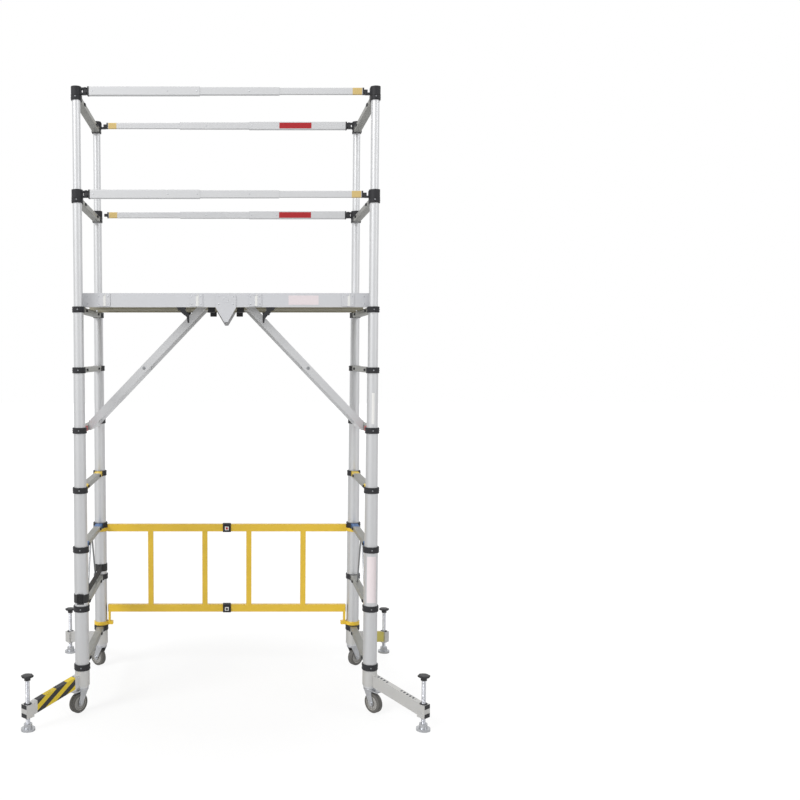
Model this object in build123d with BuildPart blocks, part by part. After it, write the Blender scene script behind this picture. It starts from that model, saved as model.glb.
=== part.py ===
"""Telescopic folding scaffold tower with platform, guard rails, outriggers and braked castors.

Frame: origin on the ground midway between the two ladder ends, X from the left ladder to the
right ladder, Y from front to back, Z up. All sizes are in millimetres.
"""
import os
from math import atan2, degrees, hypot

from build123d import *

os.makedirs("parts", exist_ok=True)

# ---------------------------------------------------------------- driving dimensions
ladder_half = 730.0        # ladder plane to centre, X
post_half = 348.0          # post axis to centre, Y
first_rung_z = 232.0       # lowest rung centre
rung_pitch = 300.0         # rung to rung
rail_rise = 535.0          # platform rung to middle guard rung
top_rise = 495.0           # middle guard rung to top guard rung

outer_tube = 70.0          # base post diameter
tube_step = 5.0            # each section is this much smaller
tube_wall = 2.0
stub_tube = 65.4           # foot stub pressed into the base post
stub_wall = 3.0
stub_low_z = 126.0
insert_length = 60.0       # length of a section that stays inside the one below

collar_height = 29.0
collar_skin = 5.0          # collar thickness round the tube
collar_lip = 8.0           # lip above the end of the tube
slide_gap = 0.3            # sliding and turning clearance between bodies
seat_gap = 0.05            # clearance of a fixed fit
turn_gap = 0.1             # clearance of a pin or screw in its bore
rung_width = 40.0
rung_height = 28.0
rung_wall = 2.2
socket_reach = 14.0        # rung socket beyond the collar skin

guard_lift = 28.0          # guard rail centre above its rung
guard_top = 50.0           # top of a guard fitting above its rung
guard_pin_reach = 44.0     # hinge pin from the post axis
guard_ear = 8.0            # ear thickness
guard_tongue = 16.0        # tongue height between the ears
guard_width = 24.0
guard_height = 43.0
guard_pin_size = 8.0
guard_shrink = 5.0         # each inner rail section is this much smaller
guard_wall = 1.8
guard_joint_1 = -127.0     # outer section ends here, X on the front rails
guard_joint_2 = 262.0      # middle section ends here
guard_lap = 100.0
guard_root = 20.0          # tube starts this far past the hinge pin

deck_clear = 0.3           # deck rests this far above the rung top
deck_height = 70.0
deck_half_width = 302.0
deck_rail = 30.0
deck_rail_wall = 3.0
deck_plate = 16.0
deck_beam = 60.0           # middle beam width
deck_beam_wall = 4.0
groove_pitch = 30.0
groove_count = 17
groove_width = 6.0
groove_depth = 1.5
deck_skin = 2.0            # skins and webs of the hollow plate
cell_height = 10.0
deck_seam = 1.2
centre_half = 147.0
panel_end = 610.0
deck_end = 724.0

brace_pivot_x = 110.0
brace_pivot_rise = 20.0    # pivot above the underside of the side rails
brace_side = 165.0         # each brace is a pair of tubes this far from the middle, Y
brace_width = 26.0
brace_depth = 36.0
brace_wall = 2.5
brace_pin = 12.0
brace_heel = 16.0          # tube beyond the pivot

arm_side = 224.0           # foot from the post, X
arm_front = 250.0          # foot from the post, Y
arm_root_z = 172.0
arm_end_z = 98.0
arm_height = 60.0
arm_width = 30.0
arm_wall = 3.0
sleeve_low_z = 138.0
sleeve_high_z = 214.0
sleeve_wall = 4.0
spindle_size = 20.0
handle_size = 54.0
handle_thick = 10.0
spindle_top_z = 262.0
foot_size = 68.0
foot_height = 34.0

wheel_size = 100.0
wheel_width = 30.0
wheel_trail = 28.0
axle_size = 10.0
fork_plate = 3.0
fork_gap = 1.5

frame_top_z = 814.0        # yellow rear frame
frame_low_z = 344.0
frame_bar = 42.0
frame_thick = 25.0
frame_wall = 3.0
frame_stiles = (440.0, 127.0)
frame_stile = 30.0

# ---------------------------------------------------------------- derived levels and sizes
base_z = [first_rung_z + rung_pitch * i for i in range(3)]
level_z = {n: base_z[2] + rung_pitch * n for n in range(1, 5)}
level_z[5] = level_z[4] + rail_rise
level_z[6] = level_z[5] + top_rise
level_z[0] = base_z[2]
tube_size = {n: outer_tube - tube_step * n for n in range(7)}
deck_low_z = level_z[4] + rung_height / 2 + deck_clear
deck_top_z = deck_low_z + deck_height
pivot_z = deck_low_z + brace_pivot_rise
arm_reach = hypot(arm_side, arm_front)
corners = {"front_left": (-1, -1), "front_right": (1, -1), "back_left": (-1, 1), "back_right": (1, 1)}
post_points = [(sx * ladder_half, sy * post_half) for sx, sy in corners.values()]


def save(part, name):
    """Label a finished piece and write it."""
    part.label = name
    export_step(part, f"parts/{name}.step")


# ---------------------------------------------------------------- telescopic posts
def four_tubes(size, wall, low, high):
    """Four round tubes on the post axes."""
    with BuildPart() as tubes:
        with BuildSketch(Plane.XY.offset(low)):
            with Locations(*post_points):
                Circle(size / 2)
                Circle(size / 2 - wall, mode=Mode.SUBTRACT)
        extrude(amount=high - low)
    return tubes.part


def section_low(n):
    return level_z[n - 1] - insert_length


def section_high(n):
    return level_z[n] + collar_height / 2 - collar_lip


def section(n):
    """The four tubes of telescopic section n."""
    return four_tubes(tube_size[n], tube_wall, section_low(n), section_high(n))


outer_posts = four_tubes(outer_tube, tube_wall, base_z[0] - collar_height / 2, section_high(0))
stubs = four_tubes(stub_tube, stub_wall, stub_low_z, base_z[0] + insert_length)
save(Compound(children=[outer_posts, stubs]), "base_posts")
for n in (1, 5, 6):
    save(section(n), f"posts_{n}")
save(Compound(children=[section(n) for n in (2, 3, 4)]), "mid_posts")


# ---------------------------------------------------------------- rungs and collars
def collar(z, lower, upper, sx, sy, guard=None):
    """Plastic collar on one post; lower and upper are the tubes it holds and guides.

    guard is None, "hinge" or "latch" for the fitting of a guard rail above the collar.
    """
    skin = lower / 2 + collar_skin
    x, y = sx * ladder_half, sy * post_half
    low = z - collar_height / 2
    top = z + collar_height / 2
    face = skin + socket_reach
    with BuildPart() as piece:
        with BuildSketch(Plane.XY.offset(low)):
            with Locations((x, y)):
                Circle(skin)
            with Locations((x, y - sy * face / 2)):
                Rectangle(rung_width + 8, face)
        extrude(amount=collar_height)
        fillet(piece.edges().filter_by(Axis.Z).filter_by_position(
            Axis.Y, *sorted((y - sy * face - sy, y - sy * face + sy))), 4)
        if guard:
            with BuildSketch(Plane.XY.offset(top)):
                with Locations((x, y)):
                    Circle(skin)
            extrude(amount=guard_top - collar_height / 2)
            middle = z + guard_lift
            shelves = [middle - guard_tongue / 2 - guard_ear]
            if guard == "hinge":
                shelves.append(middle + guard_tongue / 2)
            for shelf in shelves:
                with BuildSketch(Plane.XY.offset(shelf)):
                    with Locations((x - sx * guard_pin_reach / 2, y)):
                        Rectangle(guard_pin_reach, guard_width)
                    with Locations((x - sx * guard_pin_reach, y)):
                        Circle(guard_width / 2)
                extrude(amount=guard_ear)
            with BuildSketch(Plane.XY.offset(middle - guard_tongue / 2 - guard_ear)):
                with Locations((x - sx * (skin + 2) / 2, y)):
                    Rectangle(skin + 2, guard_width)
            extrude(amount=guard_tongue + 2 * guard_ear)
            with BuildSketch(Plane.XY.offset(shelves[0])):
                with Locations((x - sx * guard_pin_reach, y)):
                    Circle(guard_pin_size / 2 + seat_gap)
            if guard == "hinge":
                extrude(amount=guard_tongue + 2 * guard_ear, mode=Mode.SUBTRACT)
            else:
                extrude(amount=guard_ear, mode=Mode.SUBTRACT)
        with BuildSketch(Plane.XY.offset(low)):
            with Locations((x, y)):
                Circle(lower / 2 + seat_gap)
        extrude(amount=collar_height - collar_lip if upper != lower else collar_height, mode=Mode.SUBTRACT)
        if upper and upper != lower:
            with BuildSketch(Plane.XY.offset(low)):
                with Locations((x, y)):
                    Circle(upper / 2 + slide_gap)
            extrude(amount=collar_height + guard_top, mode=Mode.SUBTRACT)
    return piece.part


def rung(z, lower, sx):
    """Hollow rung between the sockets of two collars."""
    face = lower / 2 + collar_skin + socket_reach
    with BuildPart() as piece:
        with BuildSketch(Plane.XZ.offset(-(post_half - face))):
            with Locations((sx * ladder_half, z)):
                RectangleRounded(rung_width, rung_height, 5)
                RectangleRounded(rung_width - 2 * rung_wall, rung_height - 2 * rung_wall, 3, mode=Mode.SUBTRACT)
        extrude(amount=2 * (post_half - face))
    return piece.part


def guard_pin(z, sx, sy):
    """Hinge pin with a head, through both ears of a guard fitting."""
    low = z + guard_lift - guard_tongue / 2 - guard_ear
    span = guard_tongue + 2 * guard_ear
    with BuildPart() as pin:
        with BuildSketch(Plane.XY.offset(low)):
            with Locations((sx * (ladder_half - guard_pin_reach), sy * post_half)):
                Circle(guard_pin_size / 2)
        extrude(amount=span)
        with BuildSketch(Plane.XY.offset(low + span)):
            with Locations((sx * (ladder_half - guard_pin_reach), sy * post_half)):
                Circle(guard_pin_size / 2 + 3)
        extrude(amount=3)
    return pin.part


def rung_set(levels):
    """Rungs and collars of several levels; levels is a list of (z, lower, upper)."""
    pieces = []
    for z, lower, upper in levels:
        for sx in (-1, 1):
            pieces.append(rung(z, lower, sx))
            for sy in (-1, 1):
                guard = None
                if z >= level_z[5]:
                    guard = "hinge" if sx == sy else "latch"
                pieces.append(collar(z, lower, upper, sx, sy, guard))
                if guard == "hinge":
                    pieces.append(guard_pin(z, sx, sy))
    return Compound(children=pieces)


save(rung_set([(z, outer_tube, tube_size[1] if z == base_z[2] else outer_tube) for z in base_z]), "base_rungs")
save(rung_set([(level_z[1], tube_size[1], tube_size[2])]), "rungs_1")
save(rung_set([(level_z[n], tube_size[n], tube_size[n + 1]) for n in (2, 3, 4)]), "mid_rungs")
save(rung_set([(level_z[5], tube_size[5], tube_size[6])]), "rungs_5")
save(rung_set([(level_z[6], tube_size[6], None)]), "rungs_6")

# ---------------------------------------------------------------- stays under the third rung
stay_size = 9.0
stay_foot = 150.0
stay_head = 24.0
stays = []
for sx in (-1, 1):
    for sy in (-1, 1):
        low_z = base_z[1] + rung_height / 2
        high_z = base_z[2] - rung_height / 2
        rise = high_z - low_z
        lean = Vector(0, sy * (stay_head - stay_foot), rise).normalized()
        foot = Vector(sx * ladder_half, sy * stay_foot, low_z)
        with BuildPart() as stay:
            with BuildSketch(Plane(origin=foot - lean * stay_size, z_dir=lean)):
                Circle(stay_size / 2)
            extrude(amount=rise / lean.Z + 2 * stay_size)
            split(bisect_by=Plane.XY.offset(low_z), keep=Keep.TOP)
            split(bisect_by=Plane.XY.offset(high_z), keep=Keep.BOTTOM)
        stays.append(stay.part)
save(Compound(children=stays), "base_stays")

# ---------------------------------------------------------------- stowage strap on the left ladder
strap_z = 564.0
strap_width = 42.0
strap_thick = 2.5
strap_shift = 8.0          # the run between the posts passes the stays on the inner side
loop_inner = outer_tube / 2 + slide_gap
with BuildPart() as stowage_strap:
    with BuildSketch(Plane.XY.offset(strap_z)):
        with Locations((-ladder_half, -post_half), (-ladder_half, post_half)):
            Circle(loop_inner + strap_thick)
        with Locations((-ladder_half + strap_shift + strap_thick / 2, 0)):
            Rectangle(strap_thick, 2 * post_half)
        with Locations((-ladder_half, -post_half), (-ladder_half, post_half)):
            Circle(loop_inner, mode=Mode.SUBTRACT)
    extrude(amount=strap_width)
save(stowage_strap.part, "stowage_strap")

# ---------------------------------------------------------------- folding rear frame
ring_high = 20.0
ring_wall = 5.0
ring_low_z = base_z[0] + collar_height / 2 + 2
top_ring_z = base_z[2] - collar_height / 2 - ring_high - 2
frame_end = ladder_half - outer_tube / 2 - collar_skin - 3
middle_gap = 2.0
strip_x = frame_end          # upright strip from each ring to its bar
strip_wide = 12.0


def frame_faces(sx, inset):
    """Two bars and two stiles, each drawn smaller by inset, on the current sketch plane."""
    for z in (frame_top_z, frame_low_z):
        with Locations((sx * (middle_gap / 2 + frame_end) / 2, z)):
            Rectangle(frame_end - middle_gap / 2 - 2 * inset, frame_bar - 2 * inset)
    for stile_x in frame_stiles:
        with Locations((sx * stile_x, (frame_top_z + frame_low_z) / 2)):
            Rectangle(frame_stile - 2 * inset, frame_top_z - frame_low_z)


def rear_frame(sx):
    """Welded half frame of hollow tube, with two rings that turn on the back post."""
    with BuildPart() as half:
        with BuildSketch(Plane.XZ.offset(-post_half - frame_thick / 2)):
            frame_faces(sx, 0)
        extrude(amount=frame_thick)
        with BuildSketch(Plane.XZ.offset(-post_half - frame_thick / 2 + frame_wall)):
            frame_faces(sx, frame_wall)
        extrude(amount=frame_thick - 2 * frame_wall, mode=Mode.SUBTRACT)
        for ring_z in (ring_low_z, top_ring_z):
            with BuildSketch(Plane.XY.offset(ring_z)):
                with Locations((sx * ladder_half, post_half)):
                    Circle(outer_tube / 2 + slide_gap + ring_wall)
                with Locations((sx * (ladder_half - 47), post_half)):
                    Rectangle(44, frame_thick)
                with Locations((sx * ladder_half, post_half)):
                    Circle(outer_tube / 2 + slide_gap, mode=Mode.SUBTRACT)
            extrude(amount=ring_high)
        with BuildSketch(Plane.XZ.offset(-post_half - frame_thick / 2)):
            with Locations((sx * (strip_x - strip_wide / 2), (ring_low_z + frame_low_z) / 2)):
                Rectangle(strip_wide, frame_low_z - ring_low_z)
            with Locations((sx * (strip_x - strip_wide / 2), (top_ring_z + frame_top_z) / 2)):
                Rectangle(strip_wide, frame_top_z - top_ring_z)
        extrude(amount=frame_thick)
    return half.part


save(rear_frame(-1), "rear_frame_left")
save(rear_frame(1), "rear_frame_right")

clip_length = 46.0
clip_wall = 3.0
clips = []
for z in (frame_top_z, frame_low_z):
    with BuildPart() as clip:
        with Locations((0, post_half, z)):
            Box(clip_length, frame_thick + 2 * clip_wall + 2 * slide_gap, frame_bar + 2 * clip_wall + 2 * slide_gap)
            Box(clip_length, frame_thick + 2 * slide_gap, frame_bar + 2 * slide_gap, mode=Mode.SUBTRACT)
        with Locations((0, post_half - frame_thick / 2 - clip_wall - slide_gap - 6, z)):
            Box(26, 13, 24)
    clips.append(clip.part)
save(Compound(children=clips), "rear_frame_clips")


# ---------------------------------------------------------------- platform
def deck_panel(start, end):
    """One length of platform: two hollow side rails, a grooved plate and a hollow middle beam."""
    length = end - start
    middle = (start + end) / 2
    rail_y = deck_half_width - deck_rail / 2
    rail_z = deck_low_z + deck_height / 2
    beam_high = deck_height - deck_plate
    with BuildPart() as panel:
        with Locations((middle, -rail_y, rail_z), (middle, rail_y, rail_z)):
            Box(length, deck_rail, deck_height)
        with Locations((middle, 0, deck_top_z - deck_plate / 2)):
            Box(length, 2 * (deck_half_width - deck_rail), deck_plate)
        with Locations((middle, 0, deck_low_z + beam_high / 2)):
            Box(length, deck_beam, beam_high)
            Box(length, deck_beam - 2 * deck_beam_wall, beam_high - 2 * deck_beam_wall, mode=Mode.SUBTRACT)
        with Locations((middle, -rail_y, rail_z), (middle, rail_y, rail_z)):
            Box(length, deck_rail - 2 * deck_rail_wall, deck_height - 2 * deck_rail_wall, mode=Mode.SUBTRACT)
        with Locations((middle, 0, deck_top_z)):
            with GridLocations(1, groove_pitch, 1, groove_count):
                Box(length, groove_width, 2 * groove_depth, mode=Mode.SUBTRACT)
        with Locations((middle, 0, deck_top_z - groove_depth - deck_skin - cell_height / 2)):
            with GridLocations(1, groove_pitch, 1, groove_count + 1):
                Box(length, groove_pitch - deck_skin, cell_height, mode=Mode.SUBTRACT)
    return panel.part


save(deck_panel(-panel_end + deck_seam / 2, -centre_half - deck_seam / 2), "deck_left")
with BuildPart() as centre:
    add(deck_panel(-centre_half + deck_seam / 2, centre_half - deck_seam / 2))
    with Locations((-brace_pivot_x, 0, pivot_z), (brace_pivot_x, 0, pivot_z)):
        Cylinder(brace_pin / 2 + seat_gap, deck_beam + 1, rotation=(90, 0, 0), mode=Mode.SUBTRACT)
save(centre.part, "deck_centre")
save(deck_panel(centre_half + deck_seam / 2, panel_end - deck_seam / 2), "deck_right")

hook_thick = 10.0
hook_width = 60.0
hook_out = ladder_half + rung_width / 2 + slide_gap
ends = []
for sx in (-1, 1):
    inner = panel_end + deck_seam / 2
    start, end = sorted((sx * inner, sx * deck_end))
    ends.append(deck_panel(start, end))
    for sy in (-1, 1):
        hook_y = sy * 190
        with BuildPart() as hook:
            with BuildSketch(Plane.XZ.offset(-hook_y - hook_width / 2)):
                with BuildLine():
                    Polyline((sx * deck_end, deck_low_z), (sx * deck_end, deck_low_z + 3 * hook_thick),
                             (sx * (hook_out + hook_thick), deck_low_z + hook_thick),
                             (sx * (hook_out + hook_thick), deck_low_z - 22),
                             (sx * hook_out, deck_low_z - 22), (sx * hook_out, deck_low_z), close=True)
                make_face()
            extrude(amount=hook_width)
        ends.append(hook.part)
save(Compound(children=ends), "deck_hooks")

plate_thick = 4.0
hinge_plate = 62.0
plates = []
for seam in (-panel_end, -centre_half, centre_half, panel_end):
    for sy in (-1, 1):
        with BuildPart() as plate:
            with Locations((seam, sy * (deck_half_width + plate_thick / 2), deck_low_z + deck_height / 2)):
                Box(hinge_plate, plate_thick, hinge_plate)
            with Locations((seam, sy * (deck_half_width + plate_thick / 2), deck_top_z - 8)):
                Cylinder(6, 9, rotation=(90, 0, 0))
            with Locations((seam, sy * deck_half_width / 2, deck_low_z + deck_height / 2)):
                Box(2 * hinge_plate, deck_half_width, 2 * hinge_plate, mode=Mode.SUBTRACT)
        plates.append(plate.part)
save(Compound(children=plates), "deck_hinges")

# ---------------------------------------------------------------- pointed side plates and brace shafts
point_half = 50.0
point_drop = 74.0          # tip of the pointed plate below the deck
point_high = 58.0          # riveted part on the side rail
brackets = []
for sy in (-1, 1):
    with BuildPart() as pointed:
        with BuildSketch(Plane.XZ.offset(-sy * (deck_half_width + plate_thick / 2) - plate_thick / 2)):
            with BuildLine():
                Polyline((-point_half, deck_low_z + point_high), (point_half, deck_low_z + point_high),
                         (point_half, deck_low_z - 4), (9, deck_low_z - point_drop),
                         (-9, deck_low_z - point_drop), (-point_half, deck_low_z - 4), close=True)
            make_face()
        extrude(amount=plate_thick)
    brackets.append(pointed.part)
shaft_half = deck_half_width - deck_rail
stop_gap = 0.5
stop_thick = 6.0
for sx in (-1, 1):
    with BuildPart() as shaft:
        with Locations((sx * brace_pivot_x, 0, pivot_z)):
            Cylinder(brace_pin / 2, 2 * shaft_half, rotation=(90, 0, 0))
        for stop_y in (brace_width / 2 + stop_gap + stop_thick / 2, -brace_width / 2 - stop_gap - stop_thick / 2):
            with Locations(*[(sx * brace_pivot_x, sy * brace_side + stop_y, pivot_z) for sy in (-1, 1)]):
                Cylinder(brace_pin, stop_thick, rotation=(90, 0, 0))
    brackets.append(shaft.part)
save(Compound(children=brackets), "brace_brackets")

# levers under the side rails, drawn as distance from the middle and height below the rail
catch_wide = 22.0
catch_outline = ((250, 0), (200, 0), (203, -14), (184, -38), (184, -78), (192, -78), (197, -48), (220, -30), (234, -12))
catches = []
for sx in (-1, 1):
    for sy in (-1, 1):
        catch_y = sy * (deck_half_width - deck_rail / 2)
        with BuildPart() as catch:
            with BuildSketch(Plane.XZ.offset(-catch_y - catch_wide / 2)):
                with BuildLine():
                    Polyline(*[(sx * x, deck_low_z + z) for x, z in catch_outline], close=True)
                make_face()
            extrude(amount=catch_wide)
        catches.append(catch.part)
save(Compound(children=catches), "deck_catches")

# ---------------------------------------------------------------- diagonal braces
jaw_thick = 10.0
jaw_low = 12.0             # foot plate below and above the rung centre
jaw_high = 38.0
cross_tube = 20.0
cross_share = 0.53         # place of the cross tube along the brace
brace_foot_x = ladder_half - rung_width / 2 - slide_gap - jaw_thick
brace_foot_z = level_z[2] + jaw_high / 2
brace_run = brace_foot_x - brace_pivot_x
brace_drop = pivot_z - brace_foot_z
brace_length = hypot(brace_run, brace_drop)
for name, sx in (("left_brace", -1), ("right_brace", 1)):
    along = Vector(sx * brace_run, 0, -brace_drop).normalized()
    pieces = []
    for sy in (-1, 1):
        pivot = Vector(sx * brace_pivot_x, sy * brace_side, pivot_z)
        with BuildPart() as tube:
            with BuildSketch(Plane(origin=pivot - along * brace_heel, x_dir=(0, 1, 0), z_dir=along)):
                Rectangle(brace_width, brace_depth)
                Rectangle(brace_width - 2 * brace_wall, brace_depth - 2 * brace_wall, mode=Mode.SUBTRACT)
            extrude(amount=brace_length + brace_heel + brace_depth)
            with Locations(pivot):
                Cylinder(brace_pin / 2 + turn_gap, 2 * brace_width, rotation=(90, 0, 0), mode=Mode.SUBTRACT)
            split(bisect_by=Plane.YZ.offset(sx * brace_foot_x), keep=Keep.TOP if sx < 0 else Keep.BOTTOM)
            split(bisect_by=Plane.XY.offset(level_z[2] - jaw_low), keep=Keep.TOP)
        pieces.append(tube.part)
    with BuildPart() as jaw:
        with Locations((sx * (brace_foot_x + jaw_thick / 2), 0, level_z[2] + (jaw_high - jaw_low) / 2)):
            Box(jaw_thick, 2 * brace_side + brace_width, jaw_high + jaw_low)
    pieces.append(jaw.part)
    cross = Vector(sx * brace_pivot_x, 0, pivot_z) + along * brace_length * cross_share
    with BuildPart() as tie:
        with Locations(cross):
            Cylinder(cross_tube / 2, 2 * brace_side - brace_width, rotation=(90, 0, 0))
            Cylinder(cross_tube / 2 - brace_wall, 2 * brace_side, rotation=(90, 0, 0), mode=Mode.SUBTRACT)
    pieces.append(tie.part)
    save(Compound(children=pieces), name)


# ---------------------------------------------------------------- guard rails
def guard_tube(start, end, shrink, z, sx, sy):
    """Hollow rectangular rail section along X, given on a rail hinged at the left."""
    x_start, x_end = sorted((-sx * start, -sx * end))
    with BuildPart() as tube:
        with BuildSketch(Plane.YZ.offset(x_start)):
            with Locations((sy * post_half, z)):
                RectangleRounded(guard_width - shrink, guard_height - shrink, 3.5)
                RectangleRounded(guard_width - shrink - 2 * guard_wall, guard_height - shrink - 2 * guard_wall, 1.7,
                                 mode=Mode.SUBTRACT)
        extrude(amount=x_end - x_start)
    return tube.part


def guard_tongue_block(pin_x, tube_x, shrink, z, sy, bored):
    """Plastic end: a tongue for the fitting and a plug that fills the end of the tube."""
    away = 1 if tube_x > pin_x else -1
    plug = 30.0
    tongue_high = guard_tongue - 2 * slide_gap
    with BuildPart() as block:
        with BuildSketch(Plane.XY.offset(z - tongue_high / 2)):
            with Locations(((pin_x + tube_x) / 2, sy * post_half)):
                Rectangle(abs(tube_x - pin_x), guard_width - shrink - 2)
            with Locations((pin_x, sy * post_half)):
                Circle((guard_width - shrink - 2) / 2)
            if bored:
                with Locations((pin_x, sy * post_half)):
                    Circle(guard_pin_size / 2 + turn_gap, mode=Mode.SUBTRACT)
        extrude(amount=tongue_high)
        with Locations((tube_x - away * 4, sy * post_half, z)):
            Box(8, guard_width - shrink, guard_height - shrink)
        with Locations((tube_x + away * plug / 2, sy * post_half, z)):
            Box(plug, guard_width - shrink - 2 * guard_wall - 2 * seat_gap - 1,
                guard_height - shrink - 2 * guard_wall - 2 * seat_gap - 1)
    return block.part


pin_x = -(ladder_half - guard_pin_reach)
tube_start = pin_x + guard_root
tube_end = -tube_start
for level, height in ((5, "middle"), (6, "top")):
    z = level_z[level] + guard_lift
    for side, sx, sy in (("front", -1, -1), ("back", 1, 1)):
        outer = guard_tube(tube_start, guard_joint_1, 0, z, sx, sy)
        root = guard_tongue_block(-sx * pin_x, -sx * tube_start, 0, z, sy, True)
        save(Compound(children=[outer, root]), f"{side}_{height}_rail_outer")
        middle = guard_tube(guard_joint_1 - guard_lap, guard_joint_2, guard_shrink, z, sx, sy)
        save(middle, f"{side}_{height}_rail_middle")
        inner = guard_tube(guard_joint_2 - guard_lap, tube_end, 2 * guard_shrink, z, sx, sy)
        tip = guard_tongue_block(sx * pin_x, -sx * tube_end, 2 * guard_shrink, z, sy, False)
        save(Compound(children=[inner, tip]), f"{side}_{height}_rail_inner")


# ---------------------------------------------------------------- outriggers
arm_slope = Vector(arm_reach, 0, arm_end_z - arm_root_z).normalized()
sleeve_outer = stub_tube / 2 + slide_gap + sleeve_wall
block_size = 44.0
block_high = 64.0


def outrigger_arm():
    """Sleeve, sloping arm and end block along +X from the post axis."""
    with BuildPart() as arm:
        with BuildSketch(Plane(origin=(0, 0, arm_root_z), x_dir=(0, 1, 0), z_dir=arm_slope)):
            Rectangle(arm_width, arm_height)
            Rectangle(arm_width - 2 * arm_wall, arm_height - 2 * arm_wall, mode=Mode.SUBTRACT)
        extrude(amount=arm_reach / arm_slope.X)
        with Locations((arm_reach, 0, arm_end_z)):
            Box(block_size, block_size, block_high)
        with BuildSketch(Plane.XY.offset(sleeve_low_z)):
            Circle(sleeve_outer)
        extrude(amount=sleeve_high_z - sleeve_low_z)
        with BuildSketch(Plane.XY.offset(sleeve_low_z - 60)):
            Circle(stub_tube / 2 + slide_gap)
        extrude(amount=sleeve_high_z - sleeve_low_z + 120, mode=Mode.SUBTRACT)
        with BuildSketch(Plane.XY.offset(arm_end_z - block_high)):
            with Locations((arm_reach, 0)):
                Circle(spindle_size / 2 + turn_gap)
        extrude(amount=2 * block_high, mode=Mode.SUBTRACT)
    return arm.part


def spindle():
    """Screw spindle with a mushroom handle, standing in the foot."""
    with BuildPart() as screw:
        with BuildSketch(Plane.XY.offset(foot_height / 2)):
            with Locations((arm_reach, 0)):
                Circle(spindle_size / 2)
        extrude(amount=spindle_top_z - foot_height / 2)
        with BuildSketch(Plane.XY.offset(spindle_top_z)):
            with Locations((arm_reach, 0)):
                Circle(handle_size / 2)
        extrude(amount=handle_thick)
        with BuildSketch(Plane.XY.offset(spindle_top_z - 16)):
            with Locations((arm_reach, 0)):
                Circle(15)
        extrude(amount=16)
        fillet(screw.faces().sort_by(Axis.Z)[-1].edges(), 4)
    return screw.part


def foot():
    """Flat pad with a socket for the end of the spindle."""
    with BuildPart() as pad:
        with BuildSketch(Plane.XY):
            with Locations((arm_reach, 0)):
                Circle(foot_size / 2)
        extrude(amount=12)
        with BuildSketch(Plane.XY.offset(12)):
            with Locations((arm_reach, 0)):
                Circle(20)
        extrude(amount=foot_height - 12)
        with BuildSketch(Plane.XY.offset(foot_height / 2 - slide_gap)):
            with Locations((arm_reach, 0)):
                Circle(spindle_size / 2 + turn_gap)
        extrude(amount=foot_height, mode=Mode.SUBTRACT)
    return pad.part


for name, (sx, sy) in corners.items():
    place = Pos(sx * ladder_half, sy * post_half, 0) * Rot(0, 0, degrees(atan2(sy * arm_front, sx * arm_side)))
    save(place * outrigger_arm(), f"{name}_outrigger")
    save(place * spindle(), f"{name}_spindle")
    save(place * foot(), f"{name}_foot")


# ---------------------------------------------------------------- castors
axle_z = wheel_size / 2
fork_inner = wheel_width / 2 + fork_gap
fork_top_z = stub_low_z - 8


def castor_fork():
    """Stem, top plate, two cheeks and the axle; the wheel trails along +X."""
    with BuildPart() as fork:
        with BuildSketch(Plane.XY.offset(stub_low_z)):
            Circle(stub_tube / 2 - stub_wall - slide_gap)
        extrude(amount=40)
        with BuildSketch(Plane.XY.offset(fork_top_z)):
            Circle(29)
        extrude(amount=stub_low_z - fork_top_z - slide_gap)
        with BuildSketch(Plane.XY.offset(fork_top_z)):
            Circle(22)
        extrude(amount=stub_low_z - fork_top_z)
        for sy in (-1, 1):
            with BuildSketch(Plane.XZ.offset(-sy * (fork_inner + fork_plate / 2) - fork_plate / 2)):
                with BuildLine():
                    Polyline((-24, fork_top_z), (24, fork_top_z), (wheel_trail + 14, axle_z),
                             (wheel_trail + 8, axle_z - 14), (wheel_trail - 8, axle_z - 14), close=True)
                make_face()
            extrude(amount=fork_plate)
        with BuildSketch(Plane.XZ.offset(-fork_inner - fork_plate - 4)):
            with Locations((wheel_trail, axle_z)):
                Circle(axle_size / 2)
        extrude(amount=2 * (fork_inner + fork_plate + 4))
    return fork.part


def castor_wheel():
    """Tyred wheel turning on the axle."""
    with BuildPart() as wheel:
        with BuildSketch(Plane.XZ):
            with Locations((wheel_trail, axle_z)):
                Circle(wheel_size / 2)
                Circle(axle_size / 2 + turn_gap, mode=Mode.SUBTRACT)
        extrude(amount=wheel_width / 2, both=True)
        fillet(wheel.edges().filter_by(GeomType.CIRCLE).sort_by(SortBy.RADIUS)[-2:], 5)
        for side in (-1, 1):
            with BuildSketch(Plane.XZ.offset(side * wheel_width / 2)):
                with Locations((wheel_trail, axle_z)):
                    Circle(32)
                    Circle(14, mode=Mode.SUBTRACT)
            extrude(amount=-side * 6, mode=Mode.SUBTRACT)
    return wheel.part


def castor_brake():
    """Pedal above the wheel, turning on a cross pin between the cheeks."""
    with BuildPart() as brake:
        with BuildSketch(Plane.XZ.offset(-fork_inner + 0.4)):
            with Locations((42, fork_top_z - 6)):
                Rectangle(44, 6)
            with Locations((14, fork_top_z - 8)):
                Circle(5)
            with Locations((18, fork_top_z - 6.5)):
                Rectangle(10, 6)
        extrude(amount=2 * fork_inner - 0.8)
    return brake.part


castor_heading = {"front_left": 230.0, "front_right": -52.0, "back_left": 140.0, "back_right": 38.0}
for name, (sx, sy) in corners.items():
    place = Pos(sx * ladder_half, sy * post_half, 0) * Rot(0, 0, castor_heading[name])
    save(place * castor_fork(), f"{name}_castor_fork")
    save(place * castor_wheel(), f"{name}_wheel")
    save(place * castor_brake(), f"{name}_brake")
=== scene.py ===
# %% [markdown]
# # A telescopic scaffold tower
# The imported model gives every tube, rung, panel and castor at its real size, already tied to the
# body that it moves with. This notebook gives each of them its finish, adds the small parts that
# make the tower read as the real thing, and sets up a plain studio.

# %% Load the frame
import math

import bmesh
import bpy
from mathutils import Matrix, Vector


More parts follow.
